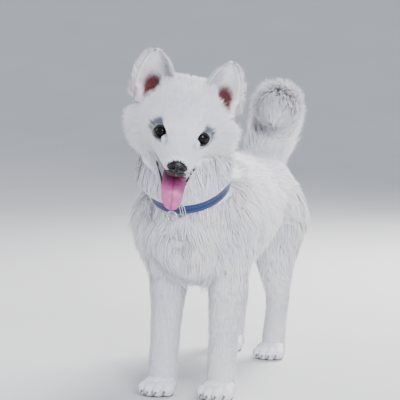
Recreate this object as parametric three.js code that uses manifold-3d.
// A young samoyed dog standing with its head turned and tilted, mouth open, tongue out, tail curled up.
// Millimetres, +Z up. The dog faces -Y and its left side is +X. The four paws stand on Z = 0.
import * as THREE from "three";
import { mergeVertices } from "three/addons/utils/BufferGeometryUtils.js";
import Module from "manifold-3d";

const wasm = await Module();
wasm.setup();

// Driving dimensions
const GAP = 0.3; // clearance between neighbouring pieces
const CORE_SHARE = 0.5; // how far the solid coat under the locks reaches from the skin to the tips
const FAR = 900; // larger than the dog
const TOLERANCE = 1.1; // how closely the joined surface keeps to the pieces it is made of
const TRIMS = [0.12, 0.08, 0.04]; // the same for a finished piece, under half the gap
const MERGE = 1e-3; // corners closer than this are one
const GRIDS = [0.01, 0.02, 0.03, 0.05]; // every corner of a finished piece lies on a grid this fine
const SIDES = { left: 1, right: -1 };

const HEAD = {
  eyes: [16, -100, 403], // midpoint between the eyes
  yaw: 18, // degrees, turned to the dog's left
  pitch: 14, // degrees, nose down
  roll: 10.4, // degrees, left ear lower
};
const EYE = { at: [28.5, -5, 0], radius: 11.3, lid: 2.4, opening: [10.4, 22, 8.8], tilt: 8 };
const NOSE = { at: [0, -61, -30], half: [14.2, 11, 10.5], face: -58 };
const EAR = { forward: 24 }; // degrees, the turn of the cup outwards
const FORE = { x: 47, paw: [26, 31, 17] };
const HIND = { x: 44, step: { left: -26, right: 24 }, paw: [24, 30, 16] };
const COLLAR = { at: [2, -22, 322], radius: 59, width: 15, thick: 2.4, lean: 33, flare: 0.42 };
const RING = { turn: -8, radius: 7.5, wire: 1.4, hang: 8.6, ahead: 2, tip: 12 };
const SLIDER = { wide: 9, high: 19, thick: 2, turn: 6 }; // turn in degrees round the collar

// A lock's root and middle, as shares of the coat's depth, and its width at the root and its growth
const LOCK = { root: 0.15, middle: 0.725, narrow: 0.7, widen: 0.6 };

const COLOURS = {
  coat: 0xe9e8ee,
  nose: 0x17171c,
  eye: 0x120d0b,
  tongue: 0xc8507f,
  collar: 0x1f3f8c,
  metal: 0xb8bcc4,
};

// A repeatable random draw, so that the locks vary and still come out alike each time.
function draw(seed) {
  let a = seed >>> 0;
  return (low, high) => {
    a = (a + 0x6d2b79f5) >>> 0;
    let t = Math.imul(a ^ (a >>> 15), 1 | a);
    t = (t + Math.imul(t ^ (t >>> 7), 61 | t)) ^ t;
    return low + (high - low) * (((t ^ (t >>> 14)) >>> 0) / 4294967296);
  };
}

// Solids and geometries

function bareOf(geometry) {
  const bare = geometry.clone();
  bare.deleteAttribute("normal");
  bare.deleteAttribute("uv");
  return bare;
}

function solidOf(geometry) {
  const merged = mergeVertices(bareOf(geometry), MERGE);
  return new wasm.Manifold(
    new wasm.Mesh({
      numProp: 3,
      vertProperties: new Float32Array(merged.attributes.position.array),
      triVerts: new Uint32Array(merged.index.array),
    }),
  );
}

function geometryOf(solid) {
  const mesh = solid.getMesh();
  const positions = new Float32Array(mesh.numVert * 3);
  for (let i = 0; i < mesh.numVert; i += 1) {
    const from = i * mesh.numProp;
    positions.set(mesh.vertProperties.subarray(from, from + 3), i * 3);
  }
  const geometry = new THREE.BufferGeometry();
  geometry.setAttribute("position", new THREE.BufferAttribute(positions, 3));
  geometry.setIndex(new THREE.BufferAttribute(new Uint32Array(mesh.triVerts), 1));
  geometry.computeVertexNormals();
  return geometry;
}

// The largest closed surface of a solid: sealed hollows fill up and loose scraps go.
function largest(solid) {
  return solid.decompose().reduce((a, b) => (b.volume() > a.volume() ? b : a));
}

// A solid with its corners on a fine grid, without the faces that this closes up.
function snapped(solid, grid) {
  const geometry = geometryOf(solid);
  const corners = geometry.attributes.position;
  for (let i = 0; i < corners.array.length; i += 1) {
    corners.array[i] = Math.round(corners.array[i] / grid) * grid;
  }
  geometry.deleteAttribute("normal");
  const merged = mergeVertices(geometry, grid / 4);
  const faces = [];
  const index = merged.index.array;
  for (let i = 0; i < index.length; i += 3) {
    const [a, b, c] = index.slice(i, i + 3);
    if (a !== b && b !== c && c !== a) faces.push(a, b, c);
  }
  merged.setIndex(faces);
  return solidOf(merged);
}

// Whether every edge of a solid lies between exactly two faces, once equal corners are one.
function closed(solid) {
  const index = mergeVertices(bareOf(geometryOf(solid)), MERGE).index.array;
  const edges = new Map();
  for (let i = 0; i < index.length; i += 3) {
    for (let j = 0; j < 3; j += 1) {
      const [a, b] = [index[i + j], index[i + ((j + 1) % 3)]];
      if (a === b) return false;
      const edge = a < b ? `${a} ${b}` : `${b} ${a}`;
      edges.set(edge, (edges.get(edge) ?? 0) + 1);
    }
  }
  return [...edges.values()].every((count) => count === 2);
}

// A finished piece: its largest closed surface, smoothed a little until no two corners all but touch.
function whole(solid) {
  for (const grid of GRIDS) {
    for (const trim of TRIMS) {
      const made = largest(snapped(largest(solid).simplify(trim), grid));
      if (closed(made)) return made;
    }
  }
  throw new Error("a piece does not close");
}

function ellipsoid(at, [a, b, c], across = 14, down = 10, matrix = null) {
  const shape = new THREE.SphereGeometry(1, across, down);
  shape.scale(a, b, c).translate(...at);
  if (matrix) shape.applyMatrix4(matrix);
  return solidOf(shape);
}

// Everything on the far side of a plane from its normal, moved outwards by grow.
function below(point, normal, grow) {
  const up = new THREE.Vector3(...normal).normalize();
  const box = new THREE.BoxGeometry(2 * FAR, 2 * FAR, FAR).translate(0, 0, grow - FAR / 2);
  box.applyQuaternion(new THREE.Quaternion().setFromUnitVectors(new THREE.Vector3(0, 0, 1), up));
  box.translate(...point);
  return solidOf(box);
}

// A convex region given by planes, each a point and an outward normal.
function region(planes, grow) {
  return planes.map(([p, n]) => below(p, n, grow)).reduce((a, b) => a.intersect(b));
}

// Splits a solid at a region's faces with a thin cut: [what is inside, what is outside].
function part(solid, planes) {
  return [solid.intersect(region(planes, -GAP / 2)), solid.subtract(region(planes, GAP / 2))];
}

// The head's own frame: origin midway between the eyes, x to the dog's left, y back, z up.
const headMatrix = new THREE.Matrix4().compose(
  new THREE.Vector3(...HEAD.eyes),
  new THREE.Quaternion().setFromEuler(
    new THREE.Euler(
      THREE.MathUtils.degToRad(HEAD.pitch),
      THREE.MathUtils.degToRad(HEAD.roll),
      THREE.MathUtils.degToRad(HEAD.yaw),
      "ZXY",
    ),
  ),
  new THREE.Vector3(1, 1, 1),
);

const NOSE_FACE = [[[0, NOSE.face, 0], [0, 1, 0]]];
const ABOVE_MOUTH = [[[0, 0, -46], [0, 0, -1]]];

function inHead(planes) {
  const turn = new THREE.Matrix3().setFromMatrix4(headMatrix);
  return planes.map(([p, n]) => [
    new THREE.Vector3(...p).applyMatrix4(headMatrix).toArray(),
    new THREE.Vector3(...n).applyMatrix3(turn).toArray(),
  ]);
}

// Limbs: smooth bodies of egg-shaped rings along a spine, each with its depth of coat.
// A station is [x, y, z, wide, up, down, coat at the side, coat up, coat down].
// Up is the side that a spine running front to back has on top, and one running down has behind.

const ACROSS = new THREE.Vector3(1, 0, 0);

class Limb {
  constructor(stations, { matrix = null, across = ACROSS } = {}) {
    const curve = (pick) =>
      new THREE.CatmullRomCurve3(stations.map(pick), false, "catmullrom", 0.5);
    this.spine = curve(([x, y, z]) => new THREE.Vector3(x, y, z));
    this.size = curve((s) => new THREE.Vector3(s[3], s[4], s[5]));
    this.coat = curve((s) => new THREE.Vector3(s[6], s[7], s[8]));
    this.matrix = matrix;
    this.across = across;
  }

  // The point at t along the spine and angle round it, at a share of the coat's depth above the skin.
  point(t, angle, share, beyond = 0) {
    const at = THREE.MathUtils.clamp(t, 0, 1);
    const centre = this.spine.getPoint(at);
    const tangent = this.spine.getTangent(at);
    const side = this.across.clone().addScaledVector(tangent, -this.across.dot(tangent)).normalize();
    const top = new THREE.Vector3().crossVectors(side, tangent);
    const size = this.size.getPoint(at);
    const coat = this.coat.getPoint(at);
    const c = Math.cos(angle);
    const s = Math.sin(angle);
    const depth = share * (coat.x * c * c + (s > 0 ? coat.y : coat.z) * s * s) + beyond;
    const reach = share * coat.x + beyond;
    const end = Math.max(0, 1 - at / 0.1) ** 2 - Math.max(0, 1 - (1 - at) / 0.1) ** 2;
    return centre
      .addScaledVector(tangent, -reach * end)
      .addScaledVector(side, (size.x + depth) * c)
      .addScaledVector(top, ((s > 0 ? size.y : size.z) + depth) * s);
  }

  solid(rings, around, share, beyond = 0) {
    const positions = [];
    const index = [];
    for (let i = 0; i < rings; i += 1) {
      for (let j = 0; j < around; j += 1) {
        const angle = (2 * Math.PI * j) / around;
        positions.push(...this.point(i / (rings - 1), angle, share, beyond).toArray());
      }
    }
    const ends = [0, rings - 1].map((ring) => {
      const middle = new THREE.Vector3();
      for (let j = 0; j < around; j += 1) {
        middle.add(new THREE.Vector3().fromArray(positions, 3 * (ring * around + j)));
      }
      positions.push(...middle.divideScalar(around).toArray());
      return positions.length / 3 - 1;
    });
    for (let j = 0; j < around; j += 1) {
      const k = (j + 1) % around;
      for (let i = 0; i < rings - 1; i += 1) {
        const a = i * around;
        const b = a + around;
        index.push(a + j, a + k, b + j, b + j, a + k, b + k);
      }
      const last = (rings - 1) * around;
      index.push(ends[0], k, j, ends[1], last + j, last + k);
    }
    return this.finish(positions, index);
  }

  // A flat, tapered lock that bends along the limb: its root sunk in the core, its tip at the coat's tips.
  lock(t, angle, { run, turn, wide, thick, lift = 1, steps = 2 }) {
    const positions = [];
    const index = [];
    const point = (s) => {
      const low = LOCK.root + 2 * s * (LOCK.middle - LOCK.root);
      const rise = s < 0.5 ? low : LOCK.middle + (lift - LOCK.middle) * (2 * s - 1);
      return this.point(t + run * s, angle + turn * s, rise);
    };
    for (let i = 0; i < steps; i += 1) {
      const s = i / steps;
      const here = point(s);
      const along = point(s + 0.1).sub(here).normalize();
      const out = this.point(t + run * s, angle + turn * s, 1, 2)
        .sub(this.point(t + run * s, angle + turn * s, 0))
        .normalize();
      const flat = new THREE.Vector3().crossVectors(out, along).normalize();
      const ridge = new THREE.Vector3().crossVectors(along, flat);
      const half = (wide / 2) * (LOCK.narrow + LOCK.widen * s);
      positions.push(...here.clone().addScaledVector(flat, half).toArray());
      positions.push(...here.clone().addScaledVector(flat, -half).toArray());
      positions.push(...here.clone().addScaledVector(ridge, thick).toArray());
    }
    positions.push(...point(1).toArray());
    index.push(0, 2, 1);
    for (let i = 0; i < steps - 1; i += 1) {
      for (let j = 0; j < 3; j += 1) {
        const a = 3 * i + j;
        const b = 3 * i + ((j + 1) % 3);
        index.push(a, b, a + 3, a + 3, b, b + 3);
      }
    }
    const last = 3 * (steps - 1);
    for (let j = 0; j < 3; j += 1) index.push(last + j, last + ((j + 1) % 3), 3 * steps);
    return this.finish(positions, index);
  }

  finish(positions, index) {
    const geometry = new THREE.BufferGeometry();
    geometry.setAttribute("position", new THREE.Float32BufferAttribute(positions, 3));
    geometry.setIndex(index);
    if (this.matrix) geometry.applyMatrix4(this.matrix);
    const made = solidOf(geometry);
    if (made.volume() > 0) return made;
    const flipped = [];
    for (let i = 0; i < index.length; i += 3) flipped.push(index[i], index[i + 2], index[i + 1]);
    geometry.setIndex(flipped);
    return solidOf(geometry);
  }
}

// Torso, neck and tail

const torso = new Limb([
  [0, -48, 262, 20, 26, 24, 24, 20, 30],
  [0, -30, 258, 48, 52, 46, 32, 26, 32],
  [0, 5, 262, 64, 78, 68, 35, 28, 34],
  [0, 50, 264, 67, 82, 78, 34, 28, 30],
  [0, 110, 265, 68, 79, 78, 32, 27, 27],
  [0, 170, 266, 65, 72, 68, 31, 26, 26],
  [0, 230, 268, 57, 66, 56, 30, 26, 24],
  [0, 290, 272, 52, 62, 50, 28, 26, 24],
  [0, 340, 276, 50, 56, 46, 30, 26, 28],
  [0, 378, 278, 38, 42, 44, 34, 26, 32],
  [0, 394, 276, 18, 20, 26, 28, 22, 28],
  [0, 402, 276, 5, 6, 8, 12, 10, 12],
]);

const neck = new Limb([
  [-6, -48, 378, 46, 46, 40, 34, 30, 30],
  [-2, -22, 346, 50, 50, 48, 38, 32, 36],
  [0, 2, 312, 58, 60, 56, 38, 30, 38],
  [0, 28, 276, 60, 62, 60, 34, 28, 34],
]);

const tail = new Limb([
  [0, 360, 306, 17, 16, 16, 26, 20, 26],
  [2, 384, 330, 16, 15, 15, 32, 24, 34],
  [6, 408, 358, 14, 14, 14, 38, 30, 42],
  [15, 414, 388, 13, 13, 13, 43, 34, 48],
  [26, 400, 415, 12, 12, 12, 45, 34, 50],
  [33, 374, 427, 11, 11, 11, 45, 32, 50],
  [37, 348, 420, 9, 9, 9, 44, 30, 48],
  [38, 330, 406, 6, 6, 6, 36, 24, 40],
]);

// Head and jaw, in the head's own frame, from the nose back

const head = new Limb(
  [
    [0, -70, -31, 8, 8, 8, 1, 1, 1],
    [0, -64, -29, 18, 15, 13, 2, 1, 2],
    [0, -50, -26, 22, 17, 17, 3, 2, 4],
    [0, -34, -22, 25.5, 19, 21, 5, 3, 6],
    [0, -19, -16, 32, 24, 28, 5, 3, 9],
    [0, -6, -8, 42, 38, 36, 8, 5, 15],
    [0, 10, -2, 51, 52, 42, 18, 10, 22],
    [0, 30, 3, 56, 57, 47, 36, 17, 30],
    [0, 52, 6, 54, 53, 48, 41, 20, 32],
    [0, 74, 8, 43, 41, 44, 38, 22, 32],
    [0, 90, 8, 22, 22, 26, 30, 22, 28],
    [0, 96, 8, 6, 6, 8, 14, 12, 14],
  ],
  { matrix: headMatrix },
);

const jaw = new Limb(
  [
    [0, -46, -78, 7, 4, 5, 2, 1, 3],
    [0, -39, -76, 14.5, 6, 8, 3, 1, 5],
    [0, -18, -67, 20, 7, 12, 5, 2, 8],
    [0, 6, -55, 28, 12, 17, 10, 4, 14],
    [0, 30, -42, 36, 16, 22, 16, 6, 20],
  ],
  { matrix: headMatrix },
);

// Legs, from the shoulder or hip down

function foreleg(s) {
  const x = FORE.x * s;
  return new Limb([
    [x - 6 * s, 14, 300, 8, 12, 12, 14, 12, 14],
    [x, 12, 285, 24, 34, 34, 24, 20, 24],
    [x + 5 * s, 8, 250, 27, 36, 34, 24, 22, 26],
    [x + 4 * s, 18, 212, 25, 30, 27, 18, 20, 18],
    [x + s, 22, 178, 22, 24, 21, 12, 20, 12],
    [x, 12, 130, 18.5, 19.5, 18, 9, 18, 9],
    [x, 4, 85, 17, 17, 17, 8, 14, 8],
    [x, -2, 52, 18, 17, 18, 7, 9, 7],
    [x, -6, 30, 19, 17, 20, 5, 6, 5],
    [x, -8, 14, 18, 15, 20, 4, 4, 4],
  ]);
}

function hindleg(s, step) {
  const x = HIND.x * s;
  return new Limb([
    [x - 14 * s, 335, 300, 8, 14, 14, 12, 12, 12],
    [x - 10 * s, 335, 280, 26, 40, 40, 26, 26, 24],
    [x - 2 * s, 328, 245, 33, 50, 46, 28, 36, 24],
    [x + s, 322 + 0.2 * step, 205, 30, 40, 38, 22, 34, 20],
    [x + s, 330 + 0.5 * step, 165, 23, 27, 26, 15, 28, 14],
    [x, 352 + 0.8 * step, 125, 17, 19, 18, 10, 20, 10],
    [x, 362 + step, 95, 14.5, 17, 14, 8, 12, 8],
    [x, 352 + step, 65, 14, 14, 14, 7, 9, 7],
    [x, 342 + step, 38, 16, 14, 16, 6, 7, 6],
    [x, 336 + step, 18, 17, 13, 18, 4, 4, 4],
  ]);
}

// A paw: the pad, four toes and their claws, flat underneath.
function paw(x, y, [wide, long, tall]) {
  const pieces = [ellipsoid([x, y, tall], [wide, long, tall + 2], 10, 6)];
  for (const [across, ahead] of [[-0.7, 0.72], [-0.25, 0.95], [0.25, 0.95], [0.7, 0.72]]) {
    const toe = [x + across * wide, y - ahead * long, 0.62 * tall];
    pieces.push(ellipsoid(toe, [0.36 * wide, 0.46 * long, 0.68 * tall], 6, 4));
    const claw = new THREE.ConeGeometry(2.6, 11, 4).rotateX(THREE.MathUtils.degToRad(112));
    claw.translate(toe[0], toe[1] - 0.46 * long - 1, 0.4 * tall);
    pieces.push(solidOf(claw));
  }
  return pieces;
}

// Ears: a tapering shell, its cup open to the front

function ear(s) {
  const forward = THREE.MathUtils.degToRad(EAR.forward);
  const across = new THREE.Vector3(Math.cos(forward), s * Math.sin(forward), 0);
  const stations = [
    [45 * s, 42, 26, 28, 12, 12, 4, 4, 4],
    [48 * s, 42, 46, 29, 12, 12, 4, 4, 4],
    [50 * s, 42, 66, 26, 10, 10, 4, 3, 4],
    [52 * s, 43, 86, 18, 7, 7, 4, 2, 4],
    [53 * s, 44, 98, 10, 4, 4, 4, 2, 4],
    [53 * s, 44, 105, 2, 2, 2, 2, 2, 2],
  ];
  const cup = [
    [49 * s, 29, 38, 13, 12, 9, 0, 0, 0],
    [51 * s, 29, 50, 18, 12, 12, 0, 0, 0],
    [53 * s, 31, 66, 17, 12, 12, 0, 0, 0],
    [54 * s, 34, 82, 11, 10, 9, 0, 0, 0],
    [54 * s, 36, 94, 4, 6, 5, 0, 0, 0],
  ];
  return {
    shell: new Limb(stations, { matrix: headMatrix, across }),
    cup: new Limb(cup, { matrix: headMatrix, across }),
  };
}

// Locks over the coat, in rows along a limb and round it

function rows(limb, seed, layout) {
  const { from, to, count, around, start = 0, span = 2 * Math.PI, ...size } = layout;
  const pick = draw(seed);
  const made = [];
  for (let i = 0; i < count; i += 1) {
    const t = from + ((to - from) * (i + 0.5)) / count;
    for (let j = 0; j < around; j += 1) {
      const angle = start + (span * (j + (i % 2 ? 0.5 : 0) + pick(-0.16, 0.16))) / around;
      const at = t + pick(-0.2, 0.2) * ((to - from) / count);
      const scale = pick(0.85, 1.15);
      const flow = size.turn ? size.turn(angle) : 0;
      made.push(
        limb.lock(at, angle, {
          run: size.run * scale,
          turn: flow + pick(-0.08, 0.08),
          wide: size.wide * pick(0.88, 1.12),
          thick: size.thick,
          lift: pick(0.86, 1),
        }),
      );
    }
  }
  return made;
}

// How far a lock on the flank sinks towards the belly as it runs back.
const sag = (most) => (angle) => -most * Math.cos(angle);

function locks() {
  const all = [
    ...rows(torso, 11, {
      from: 0, to: 0.93, count: 6, around: 9, run: 0.25, turn: sag(0.3), wide: 64, thick: 10,
    }),
    ...rows(neck, 12, {
      from: 0.2, to: 0.95, count: 2, around: 7, run: 0.6, wide: 60, thick: 10,
    }),
    ...rows(head, 13, {
      from: 0.54, to: 0.9, count: 3, around: 6, run: 0.2, wide: 62, thick: 9, turn: sag(0.35),
    }),
    ...rows(tail, 14, {
      from: 0.15, to: 0.95, count: 4, around: 5, run: 0.3, wide: 48, thick: 11,
    }),
  ];
  for (const [name, s] of Object.entries(SIDES)) {
    all.push(
      ...rows(foreleg(s), 20 + s, {
        from: 0.34, to: 0.72, count: 2, around: 2, start: 1.1, span: 1.4, run: 0.2, wide: 24, thick: 6,
      }),
      ...rows(hindleg(s, HIND.step[name]), 30 + s, {
        from: 0.12, to: 0.56, count: 2, around: 3, start: 0.4, span: 3, run: 0.19, wide: 36, thick: 8,
      }),
    );
  }
  return all;
}

// The face

function eyeAt(s) {
  return [EYE.at[0] * s, EYE.at[1], EYE.at[2]];
}

// The almond opening between the lids
function lidOpening(s) {
  const shape = new THREE.SphereGeometry(1, 12, 8).scale(...EYE.opening);
  shape.rotateY(THREE.MathUtils.degToRad(-EYE.tilt * s));
  shape.translate(EYE.at[0] * s + s, EYE.at[1] - 20, EYE.at[2]);
  return solidOf(shape.applyMatrix4(headMatrix));
}

// The nose, flat behind, where it sits on the end of the muzzle
function noseSolid() {
  const [x, y, z] = NOSE.at;
  const [a, b, c] = NOSE.half;
  const pieces = [
    ellipsoid([x, y, z + 1], [a - 1.5, b, c], 12, 8, headMatrix),
    ellipsoid([x, y + 1, z - 5], [a - 6, b - 2, c - 4], 8, 5, headMatrix),
  ];
  for (const s of Object.values(SIDES)) {
    const wing = [x + (a - 6) * s, y + 1, z - 1];
    pieces.push(ellipsoid(wing, [6, b - 1.5, 6.5], 8, 5, headMatrix));
  }
  return wasm.Manifold.union(pieces).intersect(region(inHead(NOSE_FACE), -GAP));
}

function nostrils() {
  const [x, y, z] = NOSE.at;
  const cuts = [ellipsoid([x, y - 12.2, z - 4], [0.9, 3, 8], 6, 6, headMatrix)];
  for (const s of Object.values(SIDES)) {
    cuts.push(ellipsoid([x + 5.6 * s, y - 9.2, z - 1.2], [2.9, 4.6, 2.7], 8, 6, headMatrix));
    cuts.push(ellipsoid([x + 9.6 * s, y - 7.6, z - 2.6], [3.2, 3.4, 1.3], 8, 5, headMatrix));
  }
  return wasm.Manifold.union(cuts);
}

const tongue = new Limb(
  [
    [0, -4, -50, 15, 3, 3, 0, 0, 0],
    [0, -25, -56, 17, 3, 3, 0, 0, 0],
    [0, -44, -63, 17, 3, 3, 0, 0, 0],
    [0.4, -55, -72, 16, 2.8, 2.8, 0, 0, 0],
    [1.6, -59, -84, 14, 2.4, 2.4, 0, 0, 0],
    [3.0, -60, -93, 9.5, 2, 2, 0, 0, 0],
    [3.6, -60, -97, 4, 1.4, 1.4, 0, 0, 0],
  ],
  { matrix: headMatrix },
);

// The furrow down the middle of the tongue
const furrow = new Limb(
  [
    [0, -12, -47.8, 0.8, 0.7, 1.6, 0, 0, 0],
    [0, -25, -52.5, 1.3, 0.8, 2, 0, 0, 0],
    [0, -46, -60.5, 1.5, 0.8, 2, 0, 0, 0],
    [0.4, -57.4, -71, 1.5, 0.8, 2, 0, 0, 0],
    [1.5, -61.2, -84, 1.1, 0.8, 1.8, 0, 0, 0],
    [2.2, -62, -90, 0.6, 0.6, 1, 0, 0, 0],
  ],
  { matrix: headMatrix },
);

// The inside of the mouth, between the upper lips and the jaw
const mouth = new Limb(
  [
    [0, -62, -66, 12, 9, 7, 0, 0, 0],
    [0, -46, -58, 15, 12, 10, 0, 0, 0],
    [0, -26, -53, 17, 10, 8, 0, 0, 0],
    [0, -8, -49, 20, 6, 5, 0, 0, 0],
    [0, 6, -46, 21, 3, 3, 0, 0, 0],
  ],
  { matrix: headMatrix },
);

// The line of the mouth, where the lips part and run back under the cheek
function lipLine(s) {
  return new Limb(
    [
      [13 * s, -40, -47, 6, 5, 6, 0, 0, 0],
      [19 * s, -26, -46, 6, 4, 6, 0, 0, 0],
      [25 * s, -10, -43, 6, 2.5, 4, 0, 0, 0],
      [30 * s, 4, -38, 7, 1, 1.5, 0, 0, 0],
    ],
    { matrix: headMatrix },
  );
}

// Collar: a band in a leaning plane, with a slider and a ring in front

const collarMatrix = new THREE.Matrix4().compose(
  new THREE.Vector3(...COLLAR.at),
  new THREE.Quaternion().setFromAxisAngle(ACROSS, THREE.MathUtils.degToRad(COLLAR.lean)),
  new THREE.Vector3(1, 1, 1),
);

// A ring turned from a profile of [radius, height] corners, placed in the collar's plane.
function hoop(profile, around = 36) {
  const closed = [...profile, profile[0]].map(([r, z]) => new THREE.Vector2(r, z));
  const shape = new THREE.LatheGeometry(closed, around).rotateX(Math.PI / 2);
  const made = solidOf(shape.applyMatrix4(collarMatrix));
  if (made.volume() > 0) return made;
  return solidOf(turnedInsideOut(shape));
}

function turnedInsideOut(shape) {
  const index = shape.index.array;
  for (let i = 0; i < index.length; i += 3) {
    [index[i + 1], index[i + 2]] = [index[i + 2], index[i + 1]];
  }
  return shape;
}

function collarBand() {
  const [r, h] = [COLLAR.radius, COLLAR.width / 2];
  return hoop([[r, -h], [r + COLLAR.thick, -h], [r + COLLAR.thick, h], [r, h]]);
}

function collarGroove() {
  const [r, h] = [COLLAR.radius - GAP, COLLAR.width / 2 + GAP];
  const [lip, rim] = [r + 6, r + 70];
  const wide = h + 70 * COLLAR.flare;
  return hoop([[r, -h], [lip, -h], [rim, -wide], [rim, wide], [lip, h], [r, h]], 32);
}

// Where something sits on the outside of the collar, turned round it from the front
function onCollar(turn, out) {
  const angle = THREE.MathUtils.degToRad(turn - 90);
  const r = COLLAR.radius + COLLAR.thick + out;
  return new THREE.Vector3(r * Math.cos(angle), r * Math.sin(angle), 0).applyMatrix4(collarMatrix);
}

// The slider's plate just outside the band, or the hollow round it, wider by grow
function slider(grow = 0, thick = SLIDER.thick) {
  const plate = new THREE.BoxGeometry(SLIDER.wide + 2 * grow, thick, SLIDER.high + 2 * grow);
  plate.translate(0, -(COLLAR.radius + COLLAR.thick + GAP - grow + thick / 2), 0);
  plate.rotateZ(THREE.MathUtils.degToRad(SLIDER.turn));
  return solidOf(plate.applyMatrix4(collarMatrix));
}

function ringShape(shape) {
  const at = onCollar(RING.turn, GAP + RING.wire);
  shape.rotateX(THREE.MathUtils.degToRad(RING.tip));
  shape.rotateZ(THREE.MathUtils.degToRad(RING.turn));
  return solidOf(shape.translate(at.x, at.y - RING.ahead, at.z - RING.hang));
}

function ring() {
  return ringShape(new THREE.TorusGeometry(RING.radius, RING.wire, 6, 18).rotateX(Math.PI / 2));
}

// The hollows that the slider and the ring lie in
function collarHollows() {
  const [radius, deep] = [RING.radius + RING.wire + 1, 80];
  const pit = new THREE.CylinderGeometry(radius, radius, deep, 16);
  return slider(GAP, deep).add(ringShape(pit.translate(0, RING.wire + GAP - deep / 2, 0)));
}

// The flesh, made whole and then parted with thin cuts

function flesh() {
  const pieces = [
    torso.solid(18, 16, CORE_SHARE),
    neck.solid(7, 16, CORE_SHARE),
    tail.solid(14, 10, CORE_SHARE),
    head.solid(20, 18, CORE_SHARE),
    jaw.solid(8, 12, CORE_SHARE),
  ];
  const cuts = [mouth.solid(7, 10, 1), tongue.solid(10, 10, 0, GAP)];
  for (const [name, s] of Object.entries(SIDES)) {
    const step = HIND.step[name];
    const lids = EYE.radius + EYE.lid;
    const socket = EYE.radius + GAP;
    pieces.push(
      foreleg(s).solid(15, 12, CORE_SHARE),
      hindleg(s, step).solid(17, 12, CORE_SHARE),
      ...paw(FORE.x * s, -14, FORE.paw),
      ...paw(HIND.x * s, 326 + step, HIND.paw),
      ear(s).shell.solid(9, 12, 1),
      ellipsoid(eyeAt(s), [lids, lids, lids], 14, 8, headMatrix),
    );
    cuts.push(
      ear(s).cup.solid(7, 9, 1),
      ellipsoid(eyeAt(s), [socket, socket, socket], 14, 10, headMatrix),
      lidOpening(s),
      lipLine(s).solid(6, 6, 1),
    );
  }
  pieces.push(...locks());
  return wasm.Manifold.union(pieces)
    .simplify(TOLERANCE)
    .subtract(wasm.Manifold.union(cuts))
    .subtract(collarGroove())
    .subtract(collarHollows())
    .subtract(below([0, 0, 0], [0, 0, 1], 0));
}

const material = (colour, roughness = 0.85, metalness = 0) =>
  new THREE.MeshStandardMaterial({ color: colour, roughness, metalness });

const dog = new THREE.Group();
function add(name, solid, look) {
  const mesh = new THREE.Mesh(geometryOf(whole(solid)), look);
  mesh.name = name;
  dog.add(mesh);
}

// A plane across the collar's axis, so far above the band's middle.
function collarPlane(along, facing) {
  const turn = new THREE.Matrix3().setFromMatrix4(collarMatrix);
  return [
    new THREE.Vector3(0, 0, along).applyMatrix4(collarMatrix).toArray(),
    new THREE.Vector3(0, 0, facing).applyMatrix3(turn).toArray(),
  ];
}

// Where the flesh parts into pieces: planes, each a point and an outward normal
const FACING = { left: [-1, 0, 0], right: [1, 0, 0] };
const JAW_PLANES = [
  [[0, 4, -47], [0, -0.2, 0.98]],
  [[0, 8, 0], [0, 1, 0]],
  [[0, 0, -100], [0, 0, -1]],
  [[40, 0, 0], FACING.right],
  [[-40, 0, 0], FACING.left],
];
const HEAD_PLANES = [collarPlane(12, -1)];
const NECK_PLANES = [collarPlane(-20, -1), [[0, 90, 0], [0, 1, 0]]];
const TAIL_PLANES = [[[0, 0, 361], [0, 0, -1]], [[0, 285, 0], [0, -1, 0]]];
const FOREPAW_PLANES = [[[0, 0, 40], [0, 0, 1]]];
const HINDPAW_PLANES = [[[0, 0, 36], [0, 0, 1]]];
const earPlanes = (s) => [
  [[48 * s, 42, 58], [-0.55 * s, 0, -0.835]],
  [[18 * s, 0, 0], [-s, 0, 0]],
  [[0, 100, 0], [0, 1, 0]],
];
const forelegPlanes = (s) => [
  [[50 * s, 0, 190], [-0.7 * s, 0, 0.714]],
  [[3 * s, 0, 0], [-s, 0, 0]],
  [[0, 88, 0], [0, 1, 0]],
];
const hindlegPlanes = (s) => [
  [[50 * s, 0, 215], [-0.7 * s, 0, 0.714]],
  [[3 * s, 0, 0], [-s, 0, 0]],
  [[0, 238, 0], [0, -1, 0]],
];

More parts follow.
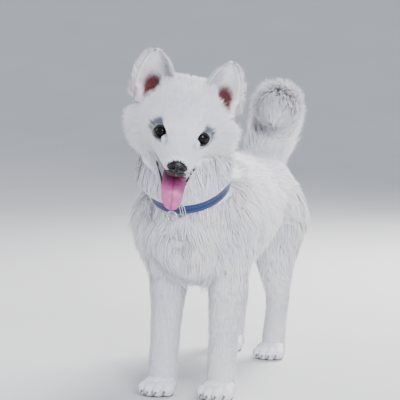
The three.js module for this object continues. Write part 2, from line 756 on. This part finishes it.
const coatLook = material(COLOURS.coat);
const muzzleEnd = region(inHead(NOSE_FACE), 0).intersect(region(inHead(ABOVE_MOUTH), 0));
let rest = flesh();
let piece;
const sidesOf = Object.entries(SIDES);

for (const [name, s] of sidesOf) {
  [piece, rest] = part(rest, inHead(earPlanes(s)));
  add(`ear_${name}`, piece, coatLook);
}
[piece, rest] = part(rest, inHead(JAW_PLANES));
add("jaw", piece, coatLook);
[piece, rest] = part(rest, HEAD_PLANES);
add("head", piece.subtract(muzzleEnd), coatLook);
[piece, rest] = part(rest, NECK_PLANES);
add("neck", piece, coatLook);
[piece, rest] = part(rest, TAIL_PLANES);
add("tail", piece, coatLook);
for (const [name, s] of sidesOf) {
  [piece, rest] = part(rest, forelegPlanes(s));
  const [foot, leg] = part(piece, FOREPAW_PLANES);
  add(`foreleg_${name}`, leg, coatLook);
  add(`forepaw_${name}`, foot, coatLook);
}
for (const [name, s] of sidesOf) {
  [piece, rest] = part(rest, hindlegPlanes(s));
  const [foot, leg] = part(piece, HINDPAW_PLANES);
  add(`hindleg_${name}`, leg, coatLook);
  add(`hindpaw_${name}`, foot, coatLook);
}
add("torso", rest, coatLook);

// What sits in the flesh and what it wears
for (const [name, s] of sidesOf) {
  const ball = [EYE.radius, EYE.radius, EYE.radius];
  add(`eye_${name}`, ellipsoid(eyeAt(s), ball, 14, 10, headMatrix), material(COLOURS.eye, 0.12));
}
add("nose", noseSolid().subtract(nostrils()), material(COLOURS.nose, 0.35));
const tonguePiece = tongue.solid(10, 10, 0).subtract(furrow.solid(7, 5, 0));
add("tongue", tonguePiece, material(COLOURS.tongue, 0.4));
add("collar", collarBand(), material(COLOURS.collar, 0.7));
add("collar_slider", slider(), material(COLOURS.metal, 0.3, 1));
add("collar_ring", ring(), material(COLOURS.metal, 0.3, 1));

// The origin goes to the middle of the footprint, at the floor.
const box = new THREE.Box3().setFromObject(dog);
const onGrid = (value) => Math.round(value);
dog.position.set(onGrid(-(box.min.x + box.max.x) / 2), onGrid(-(box.min.y + box.max.y) / 2), 0);
dog.updateMatrixWorld(true);

export default dog;
